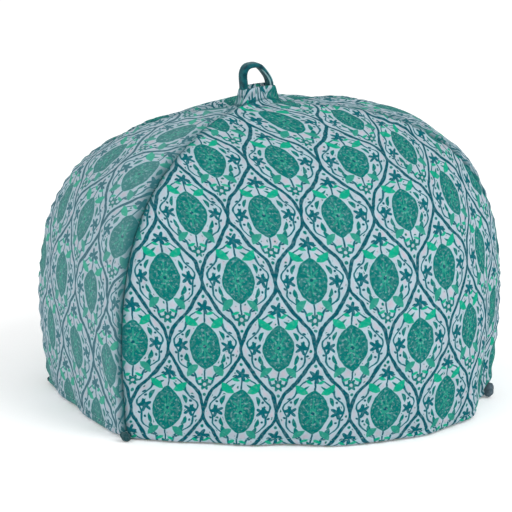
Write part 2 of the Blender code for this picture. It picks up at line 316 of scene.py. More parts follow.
def seam_curve():
    """The corner seam from the hem to the tip of the side panel, in the quarter with +X and +Y."""
    x, z = quarter_curve(SEAM_X - TOP_SEAM_X, CROWN_Z - SIDE_DROP, SEAM_REACH_POWER, SEAM_RISE_POWER)
    y, _ = quarter_curve(SEAM_Y - TIP_Y, CROWN_Z, SEAM_DEPTH_POWER, SEAM_RISE_POWER)
    return np.stack([x + TOP_SEAM_X, y + TIP_Y, z], -1)


def front_curve():
    """The middle line of the front or back panel, on the +Y side."""
    y, z = quarter_curve(FRONT_Y - TIP_Y, CROWN_Z, FRONT_REACH_POWER, FRONT_RISE_POWER)
    return np.stack([0 * y, y + TIP_Y, z], -1)


def side_curve():
    """The middle line of a side panel, on the +X side."""
    x, z = quarter_curve(SIDE_X - TOP_SEAM_X, CROWN_Z - SIDE_DROP, SIDE_REACH_POWER, SIDE_RISE_POWER)
    return np.stack([x + TOP_SEAM_X, 0 * x, z], -1)


def curve_length(curve):
    """The length along a dense curve at each of its points."""
    steps = np.linalg.norm(np.diff(curve, axis=0), axis=1)
    return np.concatenate([[0], np.cumsum(steps)])


def point_at(curve, share):
    """The points at these shares of a curve's length."""
    length = curve_length(curve)
    return np.stack([np.interp(share * length[-1], length, column) for column in curve.T], -1)


def chord_share(across, arc):
    """Where a point of an arc lies along its chord, from -1 to 1."""
    return np.sin(across * arc) / np.sin(arc)


def bulge_share(across, arc):
    """How far a point of an arc stands off its chord, from 0 at the ends to 1 in the middle."""
    return (np.cos(across * arc) - np.cos(arc)) / (1 - np.cos(arc))


def seam_frame(up):
    """Points of the corner seam at these shares of its length, and its direction at each."""
    seam = seam_curve()
    ahead, behind = (point_at(seam, np.clip(up + step, 0, 1)) for step in (NUDGE, -NUDGE))
    return point_at(seam, up), unit(ahead - behind)


def seam_push(up):
    """A step of half the gap, square to the plane of the seam, from the side panel to the wide one."""
    point, tangent = seam_frame(up)
    return GAP / 2 * unit(np.cross(tangent, point))


def wide_skin(across, up, skew):
    """The outside of the back panel, before the cloth settles."""
    seam, middle = point_at(seam_curve(), up), point_at(front_curve(), up)
    chord = chord_share(across, FRONT_ARC)
    skewed = chord - skew * (1 - chord ** 2)
    bulge = bulge_share(np.arcsin(skewed * np.sin(FRONT_ARC)) / FRONT_ARC, FRONT_ARC)[..., None]
    point = seam + (middle - seam) * bulge
    point[..., 0] = seam[..., 0] * chord
    push = seam_push(up)
    push[..., 0] *= np.sign(across)
    return point + push * np.isclose(np.abs(across), 1)[..., None]


def side_skin(across, up):
    """The outside of the right side panel, before the cloth settles."""
    seam, middle = point_at(seam_curve(), up), point_at(side_curve(), up)
    point = seam + (middle - seam) * bulge_share(across, SIDE_ARC)[..., None]
    point[..., 1] = seam[..., 1] * chord_share(across, SIDE_ARC)
    push = seam_push(up)
    push[..., 1] *= np.sign(across)
    return point - push * np.isclose(np.abs(across), 1)[..., None]


def dent_depth(name, across, up):
    """How far the panel's broad dents press the cloth in."""
    depth = 0 * up
    for dent_across, dent_up, half_across, half_up, deepest in DENTS[name]:
        reach = ((across - dent_across) / half_across) ** 2
        rise = ((up - dent_up) / half_up) ** 2
        depth = depth + deepest * np.exp(-reach - rise)
    return depth * (1 - across ** 8)


def off_tuft(x, y):
    """How far a place is from the middle of the tuft, with 1 on its edge."""
    along = (x - CROSSING_X) * np.cos(LOOP_YAW) + y * np.sin(LOOP_YAW)
    beside = y * np.cos(LOOP_YAW) - (x - CROSSING_X) * np.sin(LOOP_YAW)
    reach = np.where(along < 0, TUFT_LEFT, TUFT_RIGHT)
    off = np.abs(along / reach) ** TUFT_POWER + np.abs(beside / TUFT_Y) ** TUFT_POWER
    return off ** (1 / TUFT_POWER)


def settled(point, tuft):
    """Where the sewn cloth comes to rest: drawn in at the hem, leaning, and tufted at the loop."""
    x, y, z = np.moveaxis(point, -1, 0)
    low = np.clip(1 - z / DRAW_HEIGHT, 0, 1) ** 2
    high = (z / CROWN_Z) ** 3
    near = np.exp(-(x ** 2 + y ** 2) / CROSSING_RADIUS ** 2)
    x = x * (1 - HEM_DRAW_X * low) + high * (LEAN_X + (CROSSING_X - LEAN_X) * near)
    y = y * (1 - HEM_DRAW_Y * low)
    off = off_tuft(x, y)
    rim = TUFT_RIM * np.exp(-((off - TUFT_RIM_AT) / TUFT_RIM_WIDTH) ** 2)
    rise = (TUFT_TOP_Z - z) / (1 + off ** TUFT_POWER) + rim
    return np.stack([x + STAND_X, y, z + tuft * high * rise], -1)


def cloth_point(name, across, up, ridge, inside):
    """Points of one panel's cloth, on its outside or its inside. Ridge is the share into the top seam."""
    skew = FRONT_SKEW if name == "front_panel" else 0
    point = wide_skin(across, up, skew) if name in WIDE_PANELS else side_skin(across, up)
    wall = SEAM_WALL + (WALL - SEAM_WALL) * (1 - across ** 6)
    depth = dent_depth(name, across, up) + (wall if inside else 0)
    point = point * (1 - depth / np.linalg.norm(point, axis=-1))[..., None]
    point[..., 1] = point[..., 1] * (1 - ridge) + GAP / 2 * ridge
    return settled(point * MIRRORS.get(name, (1, 1, 1)), TUFT_INSIDE if inside else 1)


def row_places(wide):
    """Shares up a panel for its rows, and the share of each into the top seam."""
    length = curve_length(front_curve())[-1]
    heights = np.concatenate([
        np.linspace(0, HEM_BAND, HEM_ROWS + 1)[:-1],
        np.linspace(HEM_BAND, length - TUFT_BAND, BODY_ROWS + 1)[:-1],
        np.linspace(length - TUFT_BAND, length, TUFT_ROWS + 1),
    ])
    up = heights / length
    ridge = 0 * up
    if wide:
        up = np.append(up, np.ones(RIDGE_ROWS))
        ridge = np.append(ridge, np.arange(1, RIDGE_ROWS + 1) / RIDGE_ROWS)
    return up, ridge


def column_places(count):
    """Places from -1 to 1 across a panel, closer at the seams."""
    even = np.linspace(-1, 1, count + 1)
    return EVEN_SHARE * even + (1 - EVEN_SHARE) * np.sin(even * np.pi / 2)


def unit(vectors):
    """The same vectors at length one."""
    return vectors / np.maximum(np.linalg.norm(vectors, axis=-1, keepdims=True), 1e-9)


def soft_noise(along, high, pitch, seed):
    """Gentle seeded unevenness of about this pitch, mostly from -1 to 1."""
    waves, narrowest, widest, tallest = 7, 0.7, 1.5, 1.6
    chance = np.random.default_rng(seed)
    total = 0 * along
    for _ in range(waves):
        turn, phase = chance.uniform(0, 2 * np.pi, 2)
        size = pitch * chance.uniform(narrowest, widest)
        total = total + np.sin(2 * np.pi * (along * np.cos(turn) + high * np.sin(turn)) / size + phase)
    return total / np.sqrt(waves) / tallest


def crease_depth(name, along, high):
    """How far the listed creases press the cloth in."""
    depth = 0 * along
    for start, end, half_width, deepest in CREASES[name]:
        way_x, way_y = np.subtract(end, start)
        off_x, off_y = along - start[0], high - start[1]
        share = np.clip((off_x * way_x + off_y * way_y) / (way_x ** 2 + way_y ** 2), 0, 1)
        off = np.hypot(off_x - share * way_x, off_y - share * way_y)
        depth = depth + deepest * np.exp(-(off / half_width) ** 2)
    return depth


class Skin:
    """One panel's cloth as rows and columns of points, with its place on the flat cloth."""

    def __init__(self, name, cloth):
        self.name = name
        self.wide = name in WIDE_PANELS
        up, ridge = row_places(self.wide)
        across = column_places(WIDE_COLUMNS if self.wide else SIDE_COLUMNS)
        self.rows, self.columns = shape = (len(up), len(across))
        self.up, self.ridge = (np.broadcast_to(share[:, None], shape) for share in (up, ridge))
        self.across = np.broadcast_to(across, shape)
        self.bare, lining = (cloth_point(name, self.across, self.up, self.ridge, inside)
                             for inside in (False, True))
        self.measure()
        lift, hem_in, seam_in = self.lift(cloth), self.hem_rounding(cloth), self.seam_rounding(cloth)
        out, lining_out = lift - self.top_rounding(cloth) - hem_in, INNER_SHARE * lift + hem_in
        self.outer = self.bare + self.normal * out[..., None] - seam_in
        self.inner = lining + self.normal * lining_out[..., None] - INNER_SHARE * seam_in
        for skin in (self.outer, self.inner):
            skin[..., 2] = np.maximum(skin[..., 2], 0)

    def measure(self):
        """Finds the cloth's normals, and how far along and up the flat cloth each point lies."""
        bare = self.bare
        along_way, up_way = unit(np.gradient(bare, axis=1)), np.gradient(bare, axis=0)
        normal = unit(np.cross(along_way, up_way))
        low_middle = np.array([0, 0, 0.05])
        self.normal = normal * np.sign(np.sum(normal * (bare - low_middle)))
        steps = np.linalg.norm(np.diff(bare, axis=1), axis=-1)
        along = np.concatenate([np.zeros((self.rows, 1)), np.cumsum(steps, axis=1)], axis=1)
        self.edge = np.minimum(along, along[:, -1:] - along)
        self.along = along - along[:, self.columns // 2][:, None]
        rise = np.diff(bare, axis=0)
        middle_way = unit(along_way[1:] + along_way[:-1])
        square = rise - np.sum(rise * middle_way, axis=-1, keepdims=True) * middle_way
        rises = np.cumsum(np.linalg.norm(square, axis=-1), axis=0)
        self.high = np.concatenate([np.zeros((1, self.columns)), rises])
        self.top = self.high[-1:] - self.high
        self.off = off_tuft(bare[..., 0] - STAND_X, bare[..., 1])
        self.near_top = np.clip((bare[..., 2] - FADE_FROM_Z) / (CROWN_Z - FADE_FROM_Z), 0, 1)

    def lift(self, cloth):
        """Soft wadding: gathers at the seams, creases, unevenness, pleats in the tuft and a wavy hem."""
        along, high = self.along, self.high
        seed = PANELS.index(self.name) + 3
        swell = soft_noise(along, high, SWELL_PITCH, seed)
        uneven = swell + RIPPLE_SHARE * soft_noise(along, high, RIPPLE_PITCH, seed + 20)
        wave = soft_noise(along, 0 * high, HEM_WAVE_PITCH, seed + 40) * np.exp(-high / HEM_WAVE_REACH)
        soft = cloth.dent_depth * uneven - crease_depth(self.name, along, high) - self.pleats(cloth)
        soft = (soft - cloth.settling) * np.clip(self.edge / FLAT_EDGE, 0, 1) - self.gathers(cloth)
        calm = np.clip(self.off - 1, TUFT_LEAST, 1)
        return soft * calm + cloth.hem_wave * wave - self.hem_stitching(cloth)

    def gathers(self, cloth):
        """Small gathers that run out from the seams, shallower near the top."""
        phase = 2 * np.pi * self.high / cloth.pucker_pitch
        for turn, pitch in GATHER_WANDER:
            phase = phase + turn * np.sin(self.high / pitch)
        side = np.where(self.along > 0, GATHER_OFFSET, 0)
        gather = 0.5 + 0.5 * np.sin(phase + side + GATHER_SLANT * self.edge)
        gather = gather * np.exp(-self.edge / cloth.pucker_reach) * (1 - np.exp(-self.edge / GATHER_START))
        gather = gather * np.clip(self.top / GATHER_FADE, GATHER_LEAST, 1)
        return cloth.pucker_depth * gather * GATHER_SIZE

    def pleats(self, cloth):
        """Small pleats running down the tuft from the loop."""
        x, y = self.bare[..., 0] - CROSSING_X, self.bare[..., 1]
        ring = np.exp(-((np.hypot(x, TUFT_FLATNESS * y) - PLEAT_RING) / PLEAT_WIDTH) ** 2)
        turn = np.arctan2(y, x)
        pleat = 0.5 + 0.5 * np.sin(PLEATS * turn + PLEAT_WANDER * np.sin(3 * turn))
        return cloth.pleat_depth * ring * pleat

    def hem_stitching(self, cloth):
        """The groove of the hem's stitching, with the wadding swelling above it."""
        groove = np.exp(-((self.high - cloth.hem_line) / GROOVE_WIDTH) ** 2)
        bulge = np.exp(-((self.high - BULGE_AT * cloth.hem_line) / BULGE_WIDTH) ** 2)
        return cloth.hem_groove * (groove - BULGE_SHARE * bulge)

    def seam_rounding(self, cloth):
        """How far the edge of the panel rolls into its corner seams, straight in from the corner."""
        point, tangent = seam_frame(self.up)
        out = unit(point - np.sum(point * tangent, axis=-1, keepdims=True) * tangent)
        out[..., :2] *= np.where(self.bare[..., :2] < 0, -1, 1)
        roll = cloth.seam_roll * rounding(self.edge / cloth.seam_roll_reach) * (1 - ROLL_FADE * self.near_top)
        return out * roll[..., None]

    def seam_shade(self):
        """How much painted shade the cloth gets: in the seams, less near the top, and along fold lines round
        the tuft.
        """
        shade = np.exp(-(self.edge / SHADE_WIDTH) ** 2) * (1 - SHADE_FADE * self.near_top)
        for strength, off, width in FOLD_SHADES:
            shade = shade + strength * np.exp(-((self.off - off) / width) ** 2)
        return np.clip(shade, 0, 1)

    def top_rounding(self, cloth):
        """How far a wide panel's upper edge turns into the short top seam."""
        return TOP_ROLL_SHARE * cloth.seam_roll * rounding(self.top / TOP_ROLL_REACH) * self.wide

    def hem_rounding(self, cloth):
        """How far the lower edge turns in, on either side of the wadding."""
        return HEM_TURN * cloth.hem_round * rounding(self.high / cloth.hem_round)

    def hem_track(self, height, pitch):
        """Points, directions and normals along the hem at this height, this far apart."""
        row = int(np.argmin(np.abs(self.high[:, self.columns // 2] - height)))
        length = curve_length(self.outer[row])
        places = np.arange(0.5 * pitch, length[-1] - 0.4 * pitch, pitch)
        laid, facing = (np.stack([np.interp(places, length, column) for column in track[row].T], -1)
                        for track in (self.outer, self.normal))
        return laid, unit(np.gradient(laid, axis=0)), unit(facing)


def rounding(share):
    """A quarter circle's drop, from 1 at a share of 0 to nothing at a share of 1 and beyond."""
    return 1 - np.sqrt(1 - np.clip(1 - share, 0, 1) ** 2)


def fresh():
    """Nothing is selected and nothing is being edited."""
    if bpy.context.object and bpy.context.object.mode != "OBJECT":
        bpy.ops.object.mode_set(mode="OBJECT")
    bpy.ops.object.select_all(action="DESELECT")


def selected_edit():
    """Goes into edit mode with everything selected."""
    bpy.ops.object.mode_set(mode="EDIT")
    bpy.ops.mesh.select_all(action="SELECT")


def finished(piece, name, *materials):
    """Names a piece, applies its transform and gives it its materials and its body."""
    piece.name = piece.data.name = name
    for finish in materials:
        piece.data.materials.append(finish)
    bpy.ops.object.transform_apply(location=True, rotation=True, scale=True)
    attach(piece, "root")


def closed_outward():
    """Joins doubled points and turns all faces outward, in edit mode."""
    bpy.ops.mesh.select_all(action="SELECT")
    bpy.ops.mesh.remove_doubles(threshold=1e-6)
    bpy.ops.mesh.normals_make_consistent(inside=False)
    bpy.ops.object.mode_set(mode="OBJECT")


def smoothed():
    """Turns all faces of the active piece outward and smooths them."""
    selected_edit()
    bpy.ops.mesh.normals_make_consistent(inside=False)
    bpy.ops.object.mode_set(mode="OBJECT")
    bpy.ops.object.shade_smooth()


def thick_grid(columns, rows):
    """A flat grid of so many points each way, thickened downward, and the places of its points."""
    bpy.ops.mesh.primitive_grid_add(x_subdivisions=columns - 1, y_subdivisions=rows - 1, size=1)
    piece = bpy.context.object
    selected_edit()
    bpy.ops.mesh.extrude_region_move(TRANSFORM_OT_translate={"value": (0, 0, -1)})
    bpy.ops.object.mode_set(mode="OBJECT")
    return piece, read_points(piece.data)


def read_points(mesh):
    """A mesh's points as rows of three."""
    flat = np.empty(len(mesh.vertices) * 3)
    mesh.vertices.foreach_get("co", flat)
    return flat.reshape(-1, 3)


def write_points(mesh, points):
    """Moves a mesh's points."""
    mesh.vertices.foreach_set("co", np.asarray(points, dtype=np.float32).ravel())
    mesh.update()


def add_seam_shade(mesh, shade):
    """Writes how much painted shade each point gets, from 0 on the open cloth to 1 in a seam."""
    mesh.attributes.new("seam_shade", "FLOAT", "POINT").data.foreach_set("value", shade.astype(np.float32))


def add_uv(mesh, places):
    """Writes each point's place on the flat cloth, in metres, as the UV map called cloth."""
    corner = np.empty(len(mesh.loops), dtype=np.int32)
    mesh.loops.foreach_get("vertex_index", corner)
    layer = mesh.uv_layers.new(name="cloth")
    layer.data.foreach_set("uv", places[corner].astype(np.float32).ravel())
    mesh.uv_layers.active = layer


class Field:
    """A number that varies over a surface, held by a shader node. Arithmetic on it adds nodes."""

    def __init__(self, tree, socket):
        self.tree = tree
        self.socket = socket

    def math(self, operation, *others, clamp=False):
        """One Math node, with this number as its first input."""
        node = self.tree.nodes.new("ShaderNodeMath")
        node.operation = operation
        node.use_clamp = clamp
        for socket, value in zip(node.inputs, (self, *others)):
            plug(self.tree, value, socket)
        return Field(self.tree, node.outputs[0])

    def __add__(self, other):
        return self.math("ADD", other)

    def __sub__(self, other):
        return self.math("SUBTRACT", other)

    def __mul__(self, other):
        return self.math("MULTIPLY", other)

    def __truediv__(self, other):
        return self.math("DIVIDE", other)

    def __abs__(self):
        return self.math("ABSOLUTE")

    def least(self, other):
        """The smaller of two numbers."""
        return self.math("MINIMUM", other)

    def most(self, other):
        """The larger of two numbers."""
        return self.math("MAXIMUM", other)

    def wrapped(self, width):
        """Repeats every width, from minus half of it to half of it."""
        return self.math("WRAP", width / 2, -width / 2)

    def times_plus(self, factor, extra, clamp=False):
        """This number times a factor, plus an extra."""
        return self.math("MULTIPLY_ADD", factor, extra, clamp=clamp)


def plug(tree, value, socket):
    """Joins a field or another node's output to a socket, or writes a plain value on it."""
    if isinstance(value, Field):
        value = value.socket
    if isinstance(value, bpy.types.NodeSocket):
        tree.links.new(value, socket)
    else:
        socket.default_value = value


def rgba(colour):
    """A colour with full cover."""
    return (*colour[:3], 1.0)


class Finish:
    """A material in the making: its node tree, its shader and the cloth's coordinates."""

    def __init__(self, name, roughness, sheen):
        self.material = bpy.data.materials.new(name)
        self.material.use_nodes = True
        self.tree = self.material.node_tree
        self.shader = self.tree.nodes["Principled BSDF"]
        self.shader.inputs["Roughness"].default_value = roughness
        self.shader.inputs["Sheen Weight"].default_value = sheen
        self.shader.inputs["Sheen Roughness"].default_value = SHEEN_ROUGHNESS
        self.shader.inputs["Specular IOR Level"].default_value = GLOSS

    def node(self, kind, inputs=None, **settings):
        """Adds a node with these settings and these inputs."""
        node = self.tree.nodes.new(kind)
        for key, value in settings.items():
            setattr(node, key, value)
        for key, value in (inputs or {}).items():
            plug(self.tree, value, node.inputs[key])
        return node

    def millimetres(self, place, shift=(0.0, 0.0)):
        """A place in metres as one in millimetres, moved by the shift, as a vector socket."""
        inputs = {"Vector": place, "Scale": (1000, 1000, 1000), "Location": (*shift, 0)}
        return self.node("ShaderNodeMapping", inputs).outputs["Vector"]

    def cloth_vector(self, shift=(0.0, 0.0)):
        """The place on the flat cloth in millimetres, as a vector socket."""
        return self.millimetres(self.node("ShaderNodeUVMap", uv_map="cloth").outputs["UV"], shift)

    def object_vector(self):
        """The place on the piece in millimetres, as a vector socket."""
        return self.millimetres(self.node("ShaderNodeTexCoord").outputs["Object"])

    def noise(self, vector, pitch, detail, output="Fac"):
        """Noise of about this pitch, in the vector's own unit."""
        inputs = {"Vector": vector, "Scale": 1 / pitch, "Detail": detail}
        return Field(self.tree, self.node("ShaderNodeTexNoise", inputs).outputs[output])

    def patches(self, vector, pitch, gain=1.0, level=0.0, detail=3.0):
        """Soft patches of about this pitch, from 0 to 1."""
        return self.noise(vector, pitch, detail).times_plus(gain, level, clamp=True)

    def warped(self, vector, pitch, reach):
        """The vector, pushed about a little by noise."""
        push = self.noise(vector, pitch, 1.0, output="Color")
        centred = self.node("ShaderNodeVectorMath", {0: push, 1: (0.5, 0.5, 0.5)}, operation="SUBTRACT")
        inputs = {0: centred.outputs[0], 1: (reach, reach, reach), 2: vector}
        return self.node("ShaderNodeVectorMath", inputs, operation="MULTIPLY_ADD").outputs[0]

    def seam_shade(self):
        """How much painted shade the cloth gets in its seams and round the tuft, from 0 to 1."""
        node = self.node("ShaderNodeAttribute", attribute_name="seam_shade")
        return Field(self.tree, node.outputs["Fac"])

    def parts(self, vector):
        """A vector's first two numbers."""
        node = self.node("ShaderNodeSeparateXYZ", {0: vector})
        return Field(self.tree, node.outputs[0]), Field(self.tree, node.outputs[1])

    def mixed(self, share, first, second, blend="MIX"):
        """Two colours mixed by a share."""
        node = self.node("ShaderNodeMix", {0: share}, data_type="RGBA", blend_type=blend)
        colours = [socket for socket in node.inputs if socket.type == "RGBA"]
        for socket, colour in zip(colours, (first, second)):
            plug(self.tree, colour if isinstance(colour, Field) else rgba(colour), socket)
        return Field(self.tree, next(socket for socket in node.outputs if socket.type == "RGBA"))

    def weave(self, vector, pitch, depth, crumple):
        """A fine plain weave and a soft crumple as bump, on the shader."""
        x, y = self.parts(vector)
        turn = 2 * math.pi / pitch
        threads = (x * turn).math("SINE") * (y * turn).math("SINE")
        height = threads.times_plus(depth, self.noise(vector, CRUMPLE_PITCH, 3.0) * crumple)
        inputs = {"Strength": BUMP_STRENGTH, "Distance": BUMP_DEPTH, "Height": height}
        bump = self.node("ShaderNodeBump", inputs)
        self.tree.links.new(bump.outputs["Normal"], self.shader.inputs["Normal"])

    def colour(self, colour):
        """Puts a colour on the shader."""
        plug(self.tree, colour, self.shader.inputs["Base Color"])


def reach_of(x, y):
    """Distance from the middle."""
    node = x.tree.nodes.new("ShaderNodeCombineXYZ")
    plug(x.tree, x, node.inputs[0])
    plug(x.tree, y, node.inputs[1])
    size = x.tree.nodes.new("ShaderNodeVectorMath")
    size.operation = "LENGTH"
    x.tree.links.new(node.outputs[0], size.inputs[0])
    return Field(x.tree, size.outputs["Value"])


def disc(x, y, middle, radius):
    """Distance outside a disc."""
    return reach_of(x - middle[0], y - middle[1]) - radius


def lens(x, y, middle, half_length, half_width, lean, bend=0.0):
    """Distance outside a pointed leaf that leans by this many degrees and may be bent like a hook."""
    turn = math.radians(lean)
    x, y = x - middle[0], y - middle[1]
    along = x.times_plus(math.cos(turn), y * math.sin(turn))
    off = y.times_plus(math.cos(turn), x * -math.sin(turn))
    if bend:
        off = (along * along).times_plus(-bend, off)
    radius = (half_length ** 2 + half_width ** 2) / (2 * half_width)
    return reach_of(along, abs(off) + (radius - half_width)) - radius


def blossom(x, y, middle, radius, petals, depth):
    """Distance outside a flower with round petals."""
    x, y = x - middle[0], y - middle[1]
    turn = y.math("ARCTAN2", x)
    edge = (turn * petals).math("COSINE").times_plus(depth, radius)
    return reach_of(x, y) - edge


def outline(distance, offset, width):
    """Distance outside a line that follows a shape."""
    return abs(distance - offset) - width / 2


def inked(distance):
    """Cover of ink inside a shape, with a soft edge."""
    return distance.times_plus(-1 / INK_EDGE, 0.5, clamp=True)


def ogee_cell(x, y, width, height):
    """Folds the cloth into one ogee: its place from the middle, and the distance in from its edge."""
    turn = 2 * math.pi / height
    near_x, near_y = x.wrapped(width), y.wrapped(height)
    far_x, far_y = (x + width / 2).wrapped(width), (y + height / 2).wrapped(height)
    edge = (near_y * turn).math("COSINE").times_plus(width / 4, width / 4)
    own = abs(near_x).math("LESS_THAN", edge)
    cell_x = (near_x - far_x).times_plus(own, far_x)
    cell_y = (near_y - far_y).times_plus(own, far_y)
    edge = (cell_y * turn).math("COSINE").times_plus(width / 4, width / 4)
    steep = (cell_y * turn).math("SINE") * (math.pi * width / 2 / height)
    slant = (steep * steep + 1).math("SQRT")
    return cell_x, cell_y, (edge - abs(cell_x)) / slant


def vine_layers(inset, y, height, ink):
    """The vines between the ogees: a swelling stem, and a thinner wavy one with leaflets beside it."""
    swells, ripples, open_share = 5, 6, 0.30
    swell = (y * (2 * math.pi * swells / height)).math("SINE").times_plus(0.5, 1.25)
    ripple = (y * (2 * math.pi * ripples / height)).math("SINE").times_plus(1.2, inset)
    open_part = abs(y) - open_share * height
    leaf_y = y.wrapped(height / ripples)
    return [
        (inset - swell, ink.deep),
        (outline(ripple, 4.9, 1.3).most(open_part), ink.blue),
        (lens(inset, leaf_y, (7.6, 1.4), 3.3, 1.3, 58, bend=0.06).most(open_part), ink.teal),
        (disc(inset, leaf_y, (4.4, -5.2), 0.9).most(open_part), ink.deep),
    ]


def medallion_layers(x, y, ink):
    """The leaf-shaped medallion in the middle of an ogee, with a small flower in it."""
    wide, tall = abs(x), abs(y)
    return [
        (medallion(x, y), ink.teal),
        ((wide - 0.5).most(tall - 10.5), ink.sea),
        (lens(wide, tall, (3.4, 6.0), 3.2, 0.7, 48), ink.sea),
        (blossom(x, y, (0, 0), 3.2, 6, 0.9), ink.sea),
        (disc(x, y, (0, 0), 1.3), ink.deep),
    ]


def medallion(x, y):
    """Distance outside the leaf-shaped medallion."""
    return lens(x, y, (0, 0), 16.5, 10.6, 90)


def sprig_layers(x, y, ink):
    """Leaves, stems, stars and berries around the medallion."""
    wide, tall = abs(x), abs(y)
    return [
        ((wide - 0.6).most(abs(tall - 20.2) - 3.8), ink.deep),
        (lens(wide, y, (9.3, 16.4), 5.6, 2.6, 38, bend=0.03), ink.leaf),
        (lens(wide, y, (9.0, -16.6), 5.2, 2.4, -46, bend=-0.03), ink.sea),
        (blossom(wide, y, (15.8, 0), 3.5, 5, 1.5), ink.blue),
        (lens(wide, tall, (12.4, 8.4), 3.6, 1.4, 112, bend=0.06), ink.teal),
        (disc(wide, tall, (15.7, 7.4), 0.9), ink.deep),
        (blossom(x, y, (0, 26.6), 3.8, 5, 1.5), ink.blue),
        (blossom(x, y, (0, -26.8), 3.5, 6, 0.9), ink.teal),
        (disc(x, y, (0, -26.8), 1.2), ink.ground),
        (lens(wide, tall, (4.0, 22.6), 2.8, 1.1, 20), ink.leaf),
        (disc(x, tall, (0, 34.0), 1.2), ink.teal),
    ]


def filler_cover(finish, vector, nearest):
    """Small dots scattered where the print leaves the ground bare."""
    pitch, radius, clear = 4.4, 1.2, 1.0
    inputs = {"Vector": vector, "Scale": 1 / pitch, "Randomness": 0.75}
    dots = finish.node("ShaderNodeTexVoronoi", inputs, feature="F1")
    distance = Field(finish.tree, dots.outputs["Distance"]) * pitch - radius
    return inked(distance.most(nearest * -1.0 + clear))


def ground_colour(finish, vector, nearest, ink):
    """The pale ground: bleached close to the ink, warmer in patches away from it."""
    patches = finish.patches(vector, pitch=12.0, gain=3.2, level=-1.2)
    away = nearest.times_plus(0.90, -0.35, clamp=True)
    return finish.mixed(away, ink.halo, finish.mixed(patches, ink.ground, ink.blush))


def print_finish(name, ink, shift, painted_sheen):
    """The block-printed cotton of one panel."""
    finish = Finish(name, roughness=0.88, sheen=0.0)
    vector = finish.cloth_vector(shift)
    drawn = finish.warped(vector, pitch=14.0, reach=3.2)
    drawn = finish.warped(drawn, pitch=3.0, reach=0.8)
    x, y = finish.parts(drawn)
    width, height = ink.repeat_width * 1000, ink.repeat_height * 1000
    cell_x, cell_y, inset = ogee_cell(x, y, width, height)
    layers = (vine_layers(inset, cell_y, height, ink) + sprig_layers(cell_x, cell_y, ink)
              + medallion_layers(cell_x, cell_y, ink))
    nearest = layers[0][0]
    for distance, _ in layers[1:]:
        nearest = nearest.least(distance)

    cloth = ground_colour(finish, vector, nearest, ink)
    cloth = finish.mixed(filler_cover(finish, vector, nearest), cloth, ink.teal)
    worn = finish.patches(vector, pitch=2.6, gain=-0.6, level=1.28)
    for distance, colour in layers:
        cloth = finish.mixed(inked(distance) * worn, cloth, colour)
    flecks = finish.patches(vector, pitch=1.9, gain=7.0, level=-3.9, detail=1.0)
    inside = inked(medallion(cell_x, cell_y) + 1.3)
    cloth = finish.mixed(flecks * inside * 0.38, cloth, ink.halo)

    uneven = finish.noise(vector, 9.0, 4.0).times_plus(0.4, 0.81)
    shade = finish.node("ShaderNodeCombineXYZ", {0: uneven, 1: uneven, 2: uneven})
    cloth = finish.mixed(1.0, cloth, Field(finish.tree, shade.outputs[0]), blend="MULTIPLY")
    # Painted sheen: the sides are greyed and paled as grazing light shows them
    if painted_sheen:
        cloth = finish.mixed(painted_sheen, cloth, PAINTED_SHEEN_COLOUR)
    # Painted shade in the seams and along the folds round the tuft, mixed towards a dark teal
    cloth = finish.mixed(finish.seam_shade() * PAINTED_SHADE_SHARE, cloth, PAINTED_SHADE)
    finish.colour(cloth)
    finish.weave(vector, 0.62, 0.05, 0.35)
    return finish.material


def plain_finish(name, roughness, sheen, colours, patches, weave=None, on_cloth=False):
    """One colour turning to another in patches, with a weave if asked."""
    finish = Finish(name, roughness, sheen)
    vector = finish.cloth_vector() if on_cloth else finish.object_vector()
    finish.colour(finish.mixed(finish.patches(vector, **patches), *colours))
    if weave:
        finish.weave(vector, *weave)
    return finish


def scaled(colour, factor, extra=0.0):
    """A colour made darker or paler."""
    return [factor * part + extra for part in colour]


def lining_finish(name, colour):
    """Plain unbleached cotton on the inside."""
    slub = dict(pitch=1.4, gain=0.9, level=0.05, detail=4.0)
    colours = (colour, scaled(colour, 0.82))
    return plain_finish(name, 0.9, 0.2, colours, slub, weave=(0.7, 0.07, 0.4), on_cloth=True).material


def loop_finish(name, loop):
    """The dark printed strip of the hanging loop, with a painted highlight along the fold of one edge of its
    right part.
    """
    finish = Finish(name, roughness=0.84, sheen=0.25)
    vector = finish.cloth_vector()
    x, y = finish.parts(vector)
    patches = finish.patches(vector, pitch=4.2, gain=3.0, level=-1.1)
    cloth = finish.mixed(patches, loop.dark, loop.light)
    # Painted highlight along the folded edge of the loop's right part
    fold_at, fold_width = 3.5, 0.7
    fold_highlight = inked(outline(y * -1.0, fold_at, fold_width))
    right_part = x.times_plus(0.30, -9.6, clamp=True)
    cloth = finish.mixed(fold_highlight * right_part, cloth, loop.edge)
    finish.colour(cloth)
    finish.weave(vector, 0.62, 0.06, 0.5)
    return finish.material


def rolled_finish(name, colour):
    """The raw rolled cloth at the end of a seam."""
    patches = dict(pitch=2.6, gain=3.0, level=-1.1)
    colours = (colour, scaled(colour, 1.2, 0.04))
    return plain_finish(name, 0.9, 0.2, colours, patches, weave=(0.7, 0.08, 0.5)).material


def thread_finish(name, colour):
    """Twisted cotton thread."""
    return plain_finish(name, 0.75, 0.3, (colour, scaled(colour, 0.55)), dict(pitch=0.9, detail=2.0)).material


def floor_finish(name, colour, glow):
    """A matt pale floor with the faintest unevenness, lit a little from below."""
    finish = plain_finish(name, 0.9, 0.0, (colour, scaled(colour, 0.985)), dict(pitch=300.0, detail=2.0))
    finish.shader.inputs["Emission Strength"].default_value = glow
    return finish.material


class CosyOperator:
    """What all the cosy's operators share."""

    bl_options = {"REGISTER", "UNDO"}

    def execute(self, context):
        """Makes the pieces, or stops with an error."""
        fresh()
        self.make(context.scene)
        fresh()
        return {"FINISHED"}


